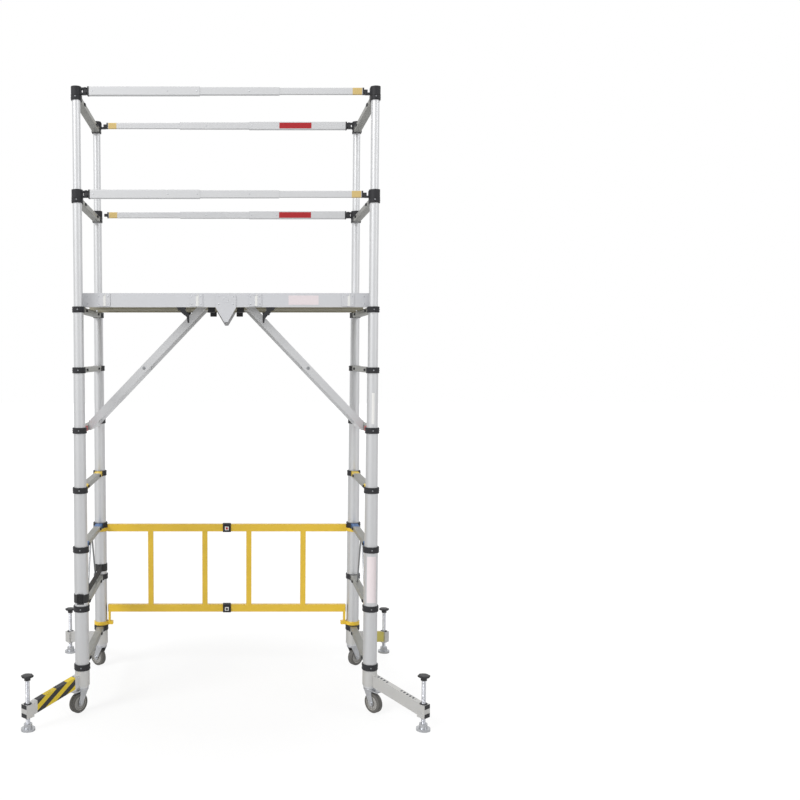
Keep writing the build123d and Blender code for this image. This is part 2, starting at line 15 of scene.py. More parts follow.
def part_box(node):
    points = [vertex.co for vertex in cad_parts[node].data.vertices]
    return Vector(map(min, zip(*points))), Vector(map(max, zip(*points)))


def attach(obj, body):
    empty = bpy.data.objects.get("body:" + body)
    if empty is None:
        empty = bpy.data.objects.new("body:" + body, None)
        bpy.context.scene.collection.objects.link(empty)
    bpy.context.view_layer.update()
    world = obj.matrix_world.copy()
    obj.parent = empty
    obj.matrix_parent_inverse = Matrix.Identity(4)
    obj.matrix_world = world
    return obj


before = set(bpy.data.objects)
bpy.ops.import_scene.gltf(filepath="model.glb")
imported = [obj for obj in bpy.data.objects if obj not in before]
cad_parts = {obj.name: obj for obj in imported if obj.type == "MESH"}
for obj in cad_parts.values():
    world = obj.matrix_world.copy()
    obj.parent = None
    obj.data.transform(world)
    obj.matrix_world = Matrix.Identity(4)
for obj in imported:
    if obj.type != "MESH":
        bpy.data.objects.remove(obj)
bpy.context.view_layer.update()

# %% [markdown]
# ## The camera
# The tower is seen from the front at about eye height, from five metres away, with the lens level
# enough that its posts only lean a little. The tower stands left of the middle of the picture, so
# the lens is shifted sideways rather than turned, which keeps both ladders upright.

# %% Camera
EYE = Vector((0.0356, -5.033, 1.809))
PITCH = math.radians(3.839)
LENS = 42.353
SIDE_SHIFT = 0.2087
RISE_SHIFT = 0.0224
camera_data = bpy.data.cameras.new("camera")
camera = bpy.data.objects.new("camera", camera_data)
bpy.context.scene.collection.objects.link(camera)
camera.location = EYE
camera.rotation_euler = (math.pi / 2 - PITCH, 0, 0)
camera_data.lens = LENS
camera_data.shift_x = SIDE_SHIFT
camera_data.shift_y = RISE_SHIFT
bpy.context.scene.camera = camera

# %% [markdown]
# ## Shader maths as plain Python
# Node trees are quick to lose track of when each Math node is made by hand. Two small classes let
# a mask be written as an expression: `Wire` stands for a socket and adds a Math node for every
# operator, and `Finish` owns one material and makes every other kind of node.

# %% The two shader classes


class Wire:
    """A socket that can be used in an expression."""

    def __init__(self, finish, socket):
        self.finish = finish
        self.socket = socket

    def maths(self, operation, *others):
        inputs = dict(enumerate((self, *others)))
        return self.finish.node("ShaderNodeMath", {"operation": operation}, inputs)

    def __add__(self, other):
        return self.maths("ADD", other)

    __radd__ = __add__

    def __mul__(self, other):
        return self.maths("MULTIPLY", other)

    __rmul__ = __mul__

    def __sub__(self, other):
        return self.maths("SUBTRACT", other)

    def __rsub__(self, other):
        return self * -1 + other

    def __truediv__(self, other):
        return self.maths("DIVIDE", other)

    def __abs__(self):
        return self.maths("ABSOLUTE")

    def __gt__(self, edge):
        return self.maths("GREATER_THAN", edge)

    def __lt__(self, edge):
        return self.maths("LESS_THAN", edge)

    def wave(self):
        return self.maths("SINE")

    def power(self, exponent):
        return self.maths("POWER", exponent)

    def clear_of(self, low, high):
        """1 between low and high, 0 outside."""
        return (self > low) * (self < high)


class Finish:
    """One material, built round a Principled shader."""

    def __init__(self, name):
        self.material = bpy.data.materials.new(name)
        self.material.use_nodes = True
        self.tree = self.material.node_tree
        self.shader = self.tree.nodes["Principled BSDF"]
        self.spot = self.node("ShaderNodeTexCoord", {}, {}, "Object")
        self.x = self.split("X")
        self.y = self.split("Y")
        self.z = self.split("Z")

    def node(self, kind, settings, values, out=0):
        made = self.tree.nodes.new(kind)
        for key, value in settings.items():
            setattr(made, key, value)
        for key, value in values.items():
            self.feed(made.inputs[key], value)
        return Wire(self, made.outputs[out])

    def feed(self, socket, value):
        if isinstance(value, Wire):
            self.tree.links.new(value.socket, socket)
        else:
            socket.default_value = value

    def split(self, axis):
        return self.node("ShaderNodeSeparateXYZ", {}, {0: self.spot}, axis)

    def stretched(self, sx, sy, sz):
        """Object coordinates, stretched so that a pattern runs along an axis."""
        stretch = {0: self.spot, 1: (sx, sy, sz)}
        return self.node("ShaderNodeVectorMath", {"operation": "MULTIPLY"}, stretch)

    def noise(self, where, scale, detail=3.0, roughness=0.55):
        return self.node("ShaderNodeTexNoise", {}, {"Vector": where, "Scale": scale, "Detail": detail,
                                                    "Roughness": roughness}, "Fac")

    def mix(self, amount, first, second):
        return self.node("ShaderNodeMix", {"data_type": "RGBA"}, {0: amount, 6: first, 7: second}, 2)

    def bump(self, height, strength, distance=0.001):
        values = {"Height": height, "Strength": strength, "Distance": distance}
        return self.node("ShaderNodeBump", {}, values)

    def surface(self, **sockets):
        for name, value in sockets.items():
            self.feed(self.shader.inputs[name.replace("_", " ").title().replace("Ior", "IOR")], value)
        return self.material


def paint(red, green, blue):
    return (red, green, blue, 1.0)


ALUMINIUM = paint(0.66, 0.665, 0.675)
ALUMINIUM_DULL = paint(0.55, 0.555, 0.565)
BLACK = paint(0.018, 0.018, 0.020)
PALE_LABEL = paint(0.80, 0.72, 0.74)


def coat(nodes, material):
    """Give nodes of the frame one material."""
    for node in nodes:
        mesh = bpy.data.objects[node].data
        mesh.materials.clear()
        mesh.materials.append(material)


# %% [markdown]
# ## Drawn aluminium tube
# The posts are extruded tube, anodised to a satin silver. Fine lines run along the tube, and
# broad soft patches of handling marks change the gloss. Both come from noise stretched along Z.

# %% Tube finish


def along_lines(finish, lengthwise):
    """Fine drawn lines along one axis: dense across it and stretched out along it."""
    scale = [300.0, 300.0, 300.0]
    scale["XYZ".index(lengthwise)] = 3.0
    return finish.noise(finish.stretched(*scale), 1.0, 4.0)


def aluminium(name, lengthwise, tint=ALUMINIUM, dull=ALUMINIUM_DULL):
    finish = Finish(name)
    lines = along_lines(finish, lengthwise)
    patches = finish.noise(finish.spot, 7.0, 4.0)
    scuffs = finish.noise(finish.stretched(40, 40, 40), 1.0, 6.0, 0.7)
    colour = finish.mix(patches * 0.55 + lines * 0.35, tint, dull)
    return finish, colour, lines * 0.06 + patches * 0.10 + 0.36, lines, scuffs


def aluminium_material(name, lengthwise):
    finish, colour, rough, lines, scuffs = aluminium(name, lengthwise)
    return finish.surface(base_color=colour, metallic=0.85, roughness=rough,
                          normal=finish.bump(lines + scuffs * 0.2, 0.03, 0.0002))


post_finish = aluminium_material("post_aluminium", "Z")

# %% [markdown]
# ## The base posts and their labels
# Two bare labels are stuck to the posts of the right ladder: a wide pale one low down, which wraps
# part of the way round, and a narrow white one above it. A sticker on a round tube is thinner than
# a hair, so a mask in the paint of the tube is truer than a separate shape.

# %% Labelled posts
POST_X = 0.730
POST_Y = 0.348


def labelled_posts(node, low, high, wide, tint):
    finish, colour, rough, lines, scuffs = aluminium(node + "_aluminium", "Z")
    across = abs(finish.x - POST_X) < wide / 2
    label = across * (finish.y < -POST_Y) * finish.z.clear_of(low, high)
    ageing = finish.noise(finish.spot, 60.0, 3.0)
    sticker = finish.mix(ageing * 0.25, tint, paint(0.62, 0.58, 0.56))
    coat([node], finish.surface(base_color=finish.mix(label, colour, sticker), metallic=(1 - label) * 0.85,
                                roughness=rough * (1 - label) + label * 0.45,
                                normal=finish.bump(lines + scuffs * 0.2, 0.03, 0.0002)))


labelled_posts("base_posts", 0.565, 0.800, 0.046, PALE_LABEL)
labelled_posts("mid_posts", 1.465, 1.620, 0.014, paint(0.84, 0.84, 0.82))
coat(["posts_1", "posts_5", "posts_6"], post_finish)
print("posts coated")

# %% [markdown]
# ## Rungs with their collars
# Each rung and its two plastic collars are one node, so one material holds both: past the socket
# face the surface is black moulded plastic with a fine grain, and between the sockets it is
# aluminium with grip lines, darkened as painted shade. Coloured bands next to the sockets mark the levels.

# %% Rung finish
RUNG_PITCH = 0.300
SOCKET = 0.019
BANDS = {"base_rungs": [(0.832, paint(0.03, 0.12, 0.32))], "rungs_1": [(1.132, paint(0.80, 0.58, 0.04))],
         "mid_rungs": [(1.432, paint(0.40, 0.02, 0.03))], "rungs_5": [], "rungs_6": []}
# tube of the lowest rung, how much thinner the next tube is, height of the lowest rung
FIRST_TUBE = {"base_rungs": (0.070, 0.0, 0.232), "rungs_1": (0.065, 0.0, 1.132),
              "mid_rungs": (0.060, 0.005, 1.432), "rungs_5": (0.045, 0.0, 2.567),
              "rungs_6": (0.040, 0.0, 3.062)}
BAND_WIDTH = 0.090
BAND_HALF_HEIGHT = 0.02
GRIP_WAVE = 1256.6
# Painted shade: the rung aluminium is painted far darker than the posts, for the shade on the rungs' sides
# and undersides.
RUNG_SHADED_TINT = paint(0.34, 0.34, 0.32)
RUNG_SHADED_DULL = paint(0.24, 0.24, 0.22)

for node, bands in BANDS.items():
    finish, colour, rough, lines, scuffs = aluminium(node + "_finish", "Y", RUNG_SHADED_TINT, RUNG_SHADED_DULL)
    tube, step, low_z = FIRST_TUBE[node]
    edge = (finish.z - low_z) * (step / 2 / RUNG_PITCH) + (POST_Y - SOCKET - tube / 2)
    out = abs(finish.y)
    plastic = out > edge
    for band_z, band_colour in bands:
        near = abs(finish.z - band_z) < BAND_HALF_HEIGHT
        colour = finish.mix(near * (out > edge - BAND_WIDTH), colour, band_colour)
    grip = abs((finish.z * GRIP_WAVE).wave()) * (1 - plastic)
    grain = finish.noise(finish.spot, 900.0, 2.0)
    colour = finish.mix(plastic, colour, finish.mix(grain * 0.6, BLACK, paint(0.05, 0.05, 0.055)))
    coat([node], finish.surface(base_color=colour, metallic=(1 - plastic) * 0.8,
                                roughness=rough * (1 - plastic) + plastic * (grain * 0.2 + 0.42),
                                normal=finish.bump(grip + grain * plastic, 0.12, 0.0004),
                                specular_ior_level=0.25))
print("rungs coated", list(BANDS))

# %% [markdown]
# ## Platform
# The panels are extrusions along X with a grooved top. The same drawn lines run along X, dust
# darkens the metal in broad patches, and painted shade makes the underside a darker, warmer grey.

# %% Platform finish
UNDERSIDE_Z = 2.101
INSIDE_RAILS = 0.3015
DECK_TINT = paint(0.66, 0.67, 0.70)
DECK_DULL = paint(0.56, 0.57, 0.60)
finish, colour, rough, lines, scuffs = aluminium("deck_aluminium", "X", DECK_TINT, DECK_DULL)
dust = finish.noise(finish.stretched(3, 3, 3), 1.0, 5.0)
colour = finish.mix(dust * 0.35, colour, paint(0.45, 0.44, 0.42))
# Painted shade: the underside of the panels, between the side rails, is painted a darker olive grey.
painted_underside_shade = (finish.z < UNDERSIDE_Z) * (abs(finish.y) < INSIDE_RAILS)
colour = finish.mix(painted_underside_shade, colour, paint(0.40, 0.38, 0.30))
deck_finish = finish.surface(base_color=colour, metallic=0.75, roughness=rough + 0.08,
                             normal=finish.bump(lines + scuffs * 0.3, 0.06, 0.0003))
coat(["deck_left", "deck_centre", "deck_right", "deck_hooks", "deck_hinges", "brace_brackets"], deck_finish)

# %% [markdown]
# ## Plastics, paint, steel and webbing
# Moulded plastic has an even fine grain. The yellow frame is powder coated, with an orange-peel
# skin and dirt that settles in broad patches. Zinc-plated steel is a pale metal with blotches.

# %% Small finishes


def moulded(name, tint, dark):
    finish = Finish(name)
    grain = finish.noise(finish.spot, 900.0, 2.0)
    wear = finish.noise(finish.spot, 30.0, 5.0)
    return finish.surface(base_color=finish.mix(wear, tint, dark), roughness=grain * 0.2 + 0.45,
                          normal=finish.bump(grain, 0.2, 0.0003), specular_ior_level=0.25)


def powder_coat(name, tint, dark):
    finish = Finish(name)
    peel = finish.noise(finish.spot, 350.0, 2.0)
    dirt = finish.noise(finish.spot, 12.0, 6.0, 0.65)
    return finish.surface(base_color=finish.mix(dirt * 0.5, tint, dark), roughness=dirt * 0.25 + 0.28,
                          coat_weight=0.2, normal=finish.bump(peel, 0.12, 0.0004))


def zinc(name, tint=paint(0.60, 0.61, 0.63)):
    finish = Finish(name)
    flakes = finish.noise(finish.spot, 120.0, 4.0)
    blots = finish.noise(finish.spot, 25.0, 4.0)
    return finish.surface(base_color=finish.mix(blots, tint, paint(0.40, 0.41, 0.43)), metallic=0.9,
                          roughness=flakes * 0.25 + 0.25, normal=finish.bump(flakes, 0.1, 0.0004))


black_plastic = moulded("black_plastic", BLACK, paint(0.045, 0.045, 0.048))
red_plastic = moulded("red_plastic", paint(0.50, 0.03, 0.03), paint(0.36, 0.02, 0.02))
yellow_paint = powder_coat("yellow_paint", paint(0.80, 0.53, 0.035), paint(0.62, 0.41, 0.04))
zinc_steel = zinc("zinc_steel")
dark_steel = zinc("dark_steel", paint(0.16, 0.165, 0.17))
coat(["deck_catches", "rear_frame_clips"], black_plastic)
coat(["rear_frame_left", "rear_frame_right"], yellow_paint)
coat(["base_stays"], dark_steel)

WEAVE_UP = 2600
WEAVE_ALONG = 1700
finish = Finish("webbing")
weave = (finish.z * WEAVE_UP).wave() * 0.5 + (finish.y * WEAVE_ALONG).wave() * 0.5
fuzz = finish.noise(finish.spot, 600.0, 3.0)
yarn = finish.mix(fuzz, paint(0.012, 0.012, 0.013), paint(0.05, 0.05, 0.05))
coat(["stowage_strap"], finish.surface(base_color=yarn, roughness=fuzz * 0.1 + 0.75,
                                       normal=finish.bump(weave, 0.5, 0.0006)))

# %% [markdown]
# ## Guard rails
# Each rail has a black plastic end outside its tube, so the finish turns black past the end of
# the tube, and the far end wears a tan release band.

# %% Rail finish
RAIL_TUBE_END = 0.666
RELEASE_BAND_START = 0.618
TAN = paint(0.62, 0.47, 0.20)
for side in ("front", "back"):
    for height in ("middle", "top"):
        for part in ("outer", "middle", "inner"):
            node = f"{side}_{height}_rail_{part}"
            finish, colour, rough, lines, scuffs = aluminium(node + "_finish", "X")
            out = abs(finish.x)
            plastic = out > RAIL_TUBE_END
            if part == "inner":
                colour = finish.mix(out.clear_of(RELEASE_BAND_START, RAIL_TUBE_END - 0.002), colour, TAN)
            colour = finish.mix(plastic, colour, BLACK)
            coat([node], finish.surface(base_color=colour, metallic=(1 - plastic) * 0.85,
                                        roughness=rough * (1 - plastic) + plastic * 0.45,
                                        normal=finish.bump(lines, 0.12, 0.0004)))

# %% [markdown]
# ## Braces
# The braces are drawn tube like the posts, and the heel that clamps on the rung is black.

# %% Brace finish
CLAMP_START = 0.7085
for node in ("left_brace", "right_brace"):
    finish, colour, rough, lines, scuffs = aluminium(node + "_finish", "X")
    clamp = abs(finish.x) > CLAMP_START
    coat([node], finish.surface(base_color=finish.mix(clamp, colour, BLACK), metallic=(1 - clamp) * 0.8,
                                roughness=rough * (1 - clamp) + clamp * 0.45,
                                normal=finish.bump(scuffs, 0.05, 0.0004)))

# %% [markdown]
# ## Outriggers and castors
# One arm wears yellow and black hazard tape, another a faded yellow patch, and a row of dark slots
# runs along the top of each. The spindle is zinc-plated with a black handle, and its thread is a
# fine wave of bump. The wheel has a grey hub inside a dark tread.

# %% Outrigger and castor finish
ARM_REACH = 0.3357
HANDLE_LOW = 0.2455
TAPE_WAVE = math.tau / 0.0885
TAPE_LEAN = 1.5
TAPE_START = 0.377
ARM_SIDE = 0.224
ARM_FRONT = 0.250
ARM_FALL = 0.2204
ARM_TOP = 0.172 + 0.0302
SLOT_HALF_WIDTH = 0.008
SLOT_PITCH = 0.018
THREAD_WAVE = 1570.8
HUB_RADIUS = 0.038
ARM_TINT = paint(0.62, 0.61, 0.58)
corners = {"front_left": (-1, -1), "front_right": (1, -1), "back_left": (-1, 1), "back_right": (1, 1)}
for corner, (sx, sy) in corners.items():
    finish, colour, rough, lines, scuffs = aluminium(corner + "_arm_finish", "Z", ARM_TINT)
    dx = finish.x - sx * POST_X
    dy = finish.y - sy * POST_Y
    reach = (dx * dx + dy * dy).power(0.5)
    stripe = ((reach + finish.z * TAPE_LEAN - TAPE_START) * TAPE_WAVE).wave() > 0.0
    taped = reach.clear_of(0.060, 0.290)
    length = math.hypot(ARM_SIDE, ARM_FRONT)
    aside = abs(dx * (sy * ARM_FRONT / length) - dy * (sx * ARM_SIDE / length))
    on_top = finish.z + reach * ARM_FALL > ARM_TOP
    dashes = (reach * (math.tau / SLOT_PITCH)).wave() > 0.2
    slotted = reach.clear_of(0.05, 0.12) + reach.clear_of(0.20, 0.29)
    slots = on_top * (aside < SLOT_HALF_WIDTH) * dashes * slotted
    colour = finish.mix(slots, colour, paint(0.03, 0.035, 0.05))
    metal = 0.85
    if corner == "front_left":
        tape = finish.mix(stripe, paint(0.75, 0.55, 0.02), paint(0.02, 0.02, 0.02))
        colour = finish.mix(taped, colour, tape)
        metal = (1 - taped) * 0.85
    elif corner == "back_right":
        patch = reach.clear_of(0.190, 0.312)
        colour = finish.mix(patch, colour, paint(0.58, 0.50, 0.10))
        metal = (1 - patch) * 0.85
    coat([corner + "_outrigger"], finish.surface(base_color=colour, metallic=metal, roughness=rough,
                                                 normal=finish.bump(scuffs, 0.12, 0.0004)))
    finish = Finish(corner + "_spindle_finish")
    handle = finish.z > HANDLE_LOW
    blots = finish.noise(finish.spot, 60.0, 4.0)
    thread = (finish.z * THREAD_WAVE).wave() * (1 - handle)
    plating = finish.mix(blots, paint(0.66, 0.67, 0.70), paint(0.45, 0.46, 0.50))
    colour = finish.mix(handle, plating, BLACK)
    coat([corner + "_spindle"], finish.surface(base_color=colour, metallic=(1 - handle) * 0.9,
                                               roughness=blots * 0.2 + 0.25 + handle * 0.15,
                                               normal=finish.bump(thread, 0.5, 0.0010)))
    coat([corner + "_foot", corner + "_castor_fork", corner + "_brake"], zinc_steel)
    wheel_low, wheel_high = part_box(corner + "_wheel")
    centre = (Vector(wheel_low) + Vector(wheel_high)) / 2
    finish = Finish(corner + "_wheel_finish")
    wx = finish.x - centre.x
    wy = finish.y - centre.y
    wz = finish.z - centre.z
    radius = (wx * wx + wy * wy + wz * wz).power(0.5)
    tread = radius > HUB_RADIUS
    grit = finish.noise(finish.spot, 400.0, 4.0)
    rubber = finish.mix(grit, paint(0.07, 0.068, 0.064), paint(0.14, 0.135, 0.125))
    colour = finish.mix(tread, paint(0.38, 0.37, 0.35), rubber)
    coat([corner + "_wheel"], finish.surface(base_color=colour, roughness=grit * 0.2 + 0.5,
                                             normal=finish.bump(grit, 0.25, 0.0005)))

# %% [markdown]
# ## A bench for small parts
# Rivets, screws, buttons, labels and bushings are small solids that sit on the frame. Each group
# that moves together is one mesh. `Bench` collects shapes made by Blender's own operators, and
# `deliver` turns them into one object, gives it a finish and lets it ride on its body.

# %% The bench


def facing(axis):
    """Rotation that takes Z to an axis."""
    return Vector(axis).to_track_quat("Z", "Y").to_matrix().to_4x4()


class Bench:
    """Shapes gathered into one mesh."""

    def __init__(self):
        self.mesh = bmesh.new()

    def soften(self, verts, width, sharp=0.5):
        edges = {edge for vert in verts for edge in vert.link_edges if edge.calc_face_angle(0) > sharp}
        bmesh.ops.bevel(self.mesh, geom=list(edges), offset=width, affect="EDGES", segments=2, profile=0.5,
                        material=-1)

    def block(self, centre, size, bevel=0.0005, turn=0.0):
        where = Matrix.Translation(centre) @ Matrix.Rotation(turn, 4, "Z") @ Matrix.Diagonal((*size, 1))
        self.soften(bmesh.ops.create_cube(self.mesh, size=1.0, matrix=where)["verts"], bevel)

    def disc(self, centre, axis, radius, thick, bevel=0.0005, segments=20):
        where = Matrix.Translation(centre) @ facing(axis)
        made = bmesh.ops.create_cone(self.mesh, cap_ends=True, segments=segments, radius1=radius,
                                     radius2=radius, depth=thick, matrix=where)
        self.soften(made["verts"], bevel)

    def dome(self, centre, axis, radius, height):
        where = Matrix.Translation(centre) @ facing(axis) @ Matrix.Diagonal((radius, radius, height, 1))
        bmesh.ops.create_uvsphere(self.mesh, u_segments=12, v_segments=8, radius=1.0, matrix=where)

    def turned(self, profile, centre, axis, steps=32):
        """A closed outline of (radius, height) points, spun all the way round."""
        work = bmesh.new()
        verts = [work.verts.new((radius, 0, height)) for radius, height in profile]
        edges = [work.edges.new((verts[i - 1], verts[i])) for i in range(len(verts))]
        bmesh.ops.spin(work, geom=verts + edges, cent=(0, 0, 0), axis=(0, 0, 1), angle=math.tau,
                       steps=steps, use_merge=True)
        bmesh.ops.recalc_face_normals(work, faces=work.faces)
        bmesh.ops.transform(work, matrix=Matrix.Translation(centre) @ facing(axis), verts=work.verts)
        lathe = bpy.data.meshes.new("lathe")
        work.to_mesh(lathe)
        self.mesh.from_mesh(lathe)
        bpy.data.meshes.remove(lathe)

    def deliver(self, name, body, slot, material):
        data = bpy.data.meshes.new(name)
        self.mesh.to_mesh(data)
        made = bpy.data.objects.new(name, data)
        bpy.context.scene.collection.objects.link(made)
        data.materials.append(material)
        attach(made, body)
        print(name, len(data.polygons), "faces on", body)


def vinyl(name, tint):
    """A bare printed label: satin film with faint creases."""
    finish = Finish(name)
    crease = finish.noise(finish.spot, 80.0, 4.0)
    darker = paint(*(0.7 * channel for channel in tint[:3]))
    return finish.surface(base_color=finish.mix(crease * 0.3, tint, darker), roughness=crease * 0.15 + 0.35,
                          normal=finish.bump(crease, 0.1, 0.0003))


red_vinyl = vinyl("red_vinyl", paint(0.42, 0.010, 0.015))
yellow_vinyl = vinyl("yellow_vinyl", paint(0.85, 0.66, 0.03))
tan_vinyl = vinyl("tan_vinyl", paint(0.70, 0.56, 0.28))
maroon_vinyl = vinyl("maroon_vinyl", paint(0.28, 0.02, 0.03))
pale_vinyl = vinyl("pale_vinyl", PALE_LABEL)
white_vinyl = vinyl("white_vinyl", paint(0.82, 0.82, 0.80))

# %% [markdown]
# ## Platform details
# A white strip closes each seam of the platform, with two rivets beside it on the hinge plate. A
# bare pale label sits on the front side rail, and a ring of small rivets holds the pointed plate.

# %% Platform strips, rivets and label
SIDE_FACE = 0.302
PLATE_FACE = 0.306
DECK_LOW = 2.0463
DECK_MIDDLE = DECK_LOW + 0.035
SEAMS = (-0.610, -0.147, 0.147, 0.610)
RIVET_RADIUS = 0.0036
RIVET_HEIGHT = 0.0018
RING_RADIUS = 0.013
strips = Bench()
rivets = Bench()
for sy in (-1, 1):
    outward = (0, sy, 0)
    for seam in SEAMS:
        strips.block((seam + 0.004, sy * (PLATE_FACE + 0.0008), DECK_MIDDLE), (0.013, 0.0016, 0.0600))
        for x in (0.022, -0.024):
            for z in (-0.020, 0.018):
                rivets.dome((seam + x, sy * PLATE_FACE, DECK_MIDDLE + z), outward, RIVET_RADIUS, RIVET_HEIGHT)
    for x in (-0.036, 0.036):
        for z in (-0.020, 0.018):
            rivets.dome((x, sy * PLATE_FACE, DECK_MIDDLE + z), outward, RIVET_RADIUS, RIVET_HEIGHT)
    for turn in range(8):
        ring_x = RING_RADIUS * math.cos(turn * math.pi / 4)
        ring_z = RING_RADIUS * math.sin(turn * math.pi / 4)
        rivets.dome((ring_x, sy * PLATE_FACE, DECK_MIDDLE + ring_z), outward, 0.0020, 0.0012)
    for end in (-0.690, 0.690):
        for z in (-0.018, 0.018):
            rivets.dome((end, sy * SIDE_FACE, DECK_MIDDLE + z), outward, RIVET_RADIUS, RIVET_HEIGHT)
strips.deliver("seam_strips", "platform", "deck_aluminium", white_vinyl)
rivets.deliver("platform_rivets", "platform", "deck_aluminium", zinc_steel)
label = Bench()
label.block((0.388, -SIDE_FACE - 0.0003, DECK_MIDDLE), (0.150, 0.0006, 0.046), 0.0002)
label.deliver("platform_label", "platform", "deck_aluminium", pale_vinyl)

# %% [markdown]
# ## Platform stops
# Black rubber blocks hang under the platform beside its middle, and short round stops stand further
# out, near the side rails. One mesh holds them all.

# %% Rubber stops under the platform
stops = Bench()
for sx in (-1, 1):
    for sy in (-1, 1):
        stops.block((sx * 0.073, sy * 0.250, DECK_LOW - 0.012), (0.036, 0.030, 0.026), 0.003)
        stops.disc((sx * 0.236, sy * 0.287, DECK_LOW - 0.010), (0, sy, 0), 0.006, 0.026)
stops.deliver("platform_stops", "platform", "black_plastic", black_plastic)

# %% [markdown]
# ## Labels on the rungs
# The outer face of every rung carries bare coloured labels: a long red one near the front, a
# yellow one near the back and a small square at each end. They show best from the side.

# %% Rung labels
LEVEL = {0: 0.232, 1: 0.532, 2: 0.832, 3: 1.132, 4: 1.432, 5: 1.732, 6: 2.032, 7: 2.567, 8: 3.062}
BODY_OF = {0: "base", 1: "base", 2: "base", 3: "level_1", 4: "level_2", 5: "level_2", 6: "level_2",
           7: "level_5", 8: "level_6"}
BODIES = ("base", "level_1", "level_2", "level_5", "level_6")
RUNG_FACE = POST_X + 0.020
LABELS = {"red": (-0.135, 0.170, red_vinyl), "yellow": (0.175, 0.100, yellow_vinyl)}
for tint, (middle, length, film) in LABELS.items():
    for body in BODIES:
        bench = Bench()
        for index, z in LEVEL.items():
            if BODY_OF[index] == body:
                for sx in (-1, 1):
                    bench.block((sx * (RUNG_FACE + 0.0002), middle, z), (0.0006, length, 0.019), 0.0002)
        bench.deliver(f"{body}_{tint}_labels", body, "rung_aluminium", film)
for body in BODIES:
    film = maroon_vinyl if body in ("base", "level_1") else tan_vinyl
    bench = Bench()
    for index, z in LEVEL.items():
        if BODY_OF[index] == body:
            for sx in (-1, 1):
                for y in (-0.262, 0.262):
                    bench.block((sx * (RUNG_FACE + 0.0002), y, z), (0.0006, 0.030, 0.017), 0.0002)
    bench.deliver(f"{body}_end_labels", body, "rung_aluminium", film)

# %% [markdown]
# ## Collar screws and lock buttons
# Each collar has two small screws, one facing out along the rung and one on its outer side, and
# carries two raised ribs. The lock buttons are black thumb keys on the inner face of the rung, one
# near each post, on every rung but the one that the braces clamp.

# %% Collar hardware
TUBE = {0: 0.070, 1: 0.070, 2: 0.070, 3: 0.065, 4: 0.060, 5: 0.055, 6: 0.050, 7: 0.045, 8: 0.040}
COLLAR_SKIN = 0.005
BRACE_RUNG = 4
for body in BODIES:
    screws = Bench()
    ribs = Bench()
    for index, z in LEVEL.items():
        if BODY_OF[index] != body:
            continue
        skin = TUBE[index] / 2 + COLLAR_SKIN
        for sx in (-1, 1):
            for sy in (-1, 1):
                screws.disc((sx * POST_X, sy * (POST_Y + skin), z), (0, sy, 0), 0.0034, 0.003)
                screws.disc((sx * (POST_X + skin), sy * POST_Y, z), (sx, 0, 0), 0.0034, 0.003)
                for rise in (-0.009, 0.009):
                    ribs.turned([(skin - 0.001, rise - 0.0018), (skin + 0.0011, rise - 0.0014),
                                 (skin + 0.0011, rise + 0.0014), (skin - 0.001, rise + 0.0018)],
                                (sx * POST_X, sy * POST_Y, z), (0, 0, 1))
                if index != BRACE_RUNG:
                    ribs.block((sx * (POST_X - 0.0225), sy * 0.210, z), (0.006, 0.026, 0.012), 0.001)
    screws.deliver(f"{body}_collar_screws", body, "zinc_steel", dark_steel)
    ribs.deliver(f"{body}_collar_ribs", body, "black_plastic", black_plastic)

# %% [markdown]
# ## Guard rail details
# Blind rivets hold the plastic ends, a stop screw shows on each outer and middle section, and a
# bare red label marks the back rails.

# %% Rail rivets and labels
RAIL_LIFT = 0.028
RED_LABEL_X = 0.385
for height, level in (("middle", LEVEL[7]), ("top", LEVEL[8])):
    z = level + RAIL_LIFT
    for side, sx, sy in (("front", -1, -1), ("back", 1, 1)):
        outer = Bench()
        middle = Bench()
        for face in (-1, 1):
            for x in (0.650, 0.283, 0.140):
                outer.dome((sx * x, sy * POST_Y + face * 0.012, z), (0, face, 0), 0.0032, 0.0016)
            middle.dome((sx * -0.116, sy * POST_Y + face * 0.0095, z), (0, face, 0), 0.0032, 0.0016)
        rail = f"{side}_{height}"
        outer.deliver(f"{rail}_outer_rivets", f"{rail}_rail_outer_section", "zinc_steel", zinc_steel)
        middle.deliver(f"{rail}_middle_rivets", f"{rail}_rail_middle_section", "zinc_steel", zinc_steel)
    band = Bench()
    for proud in (-0.0122, 0.0122):
        band.block((RED_LABEL_X, POST_Y + proud, z), (0.180, 0.0006, 0.032), 0.0002)
    band.deliver(f"back_{height}_red_labels", f"back_{height}_rail_outer_section", "tube_aluminium",
                 red_vinyl)

# %% [markdown]
# ## Brace details
# The tube that ties a pair of braces together shows outside as a dished washer and a rivet.

# %% Brace washers
PIVOT = Vector((0.110, 0.0, DECK_LOW + 0.020))
FOOT = Vector((0.6997, 0.0, 1.451))
CROSS_SHARE = 0.53
CROSS = PIVOT.lerp(FOOT, CROSS_SHARE)
WASHER_FACE = 0.1785
for name, sx in (("left", -1), ("right", 1)):
    washers = Bench()
    for sy in (-1, 1):
        washer_spot = (sx * CROSS.x, sy * WASHER_FACE, CROSS.z)
        washers.turned([(0.0032, -0.0008), (0.0085, -0.0008), (0.0078, 0.0010), (0.0032, 0.0014)],
                       washer_spot, (0, sy, 0))
        washers.dome(washer_spot, (0, sy, 0), 0.0046, 0.0028)
    washers.deliver(f"{name}_brace_washers", f"{name}_brace_body", "zinc_steel", dark_steel)

# %% [markdown]
# ## The strap's buckle
# The webbing passes through a black ladder-lock buckle at the front post. Two cross bars and four
# uprights make its open grid.

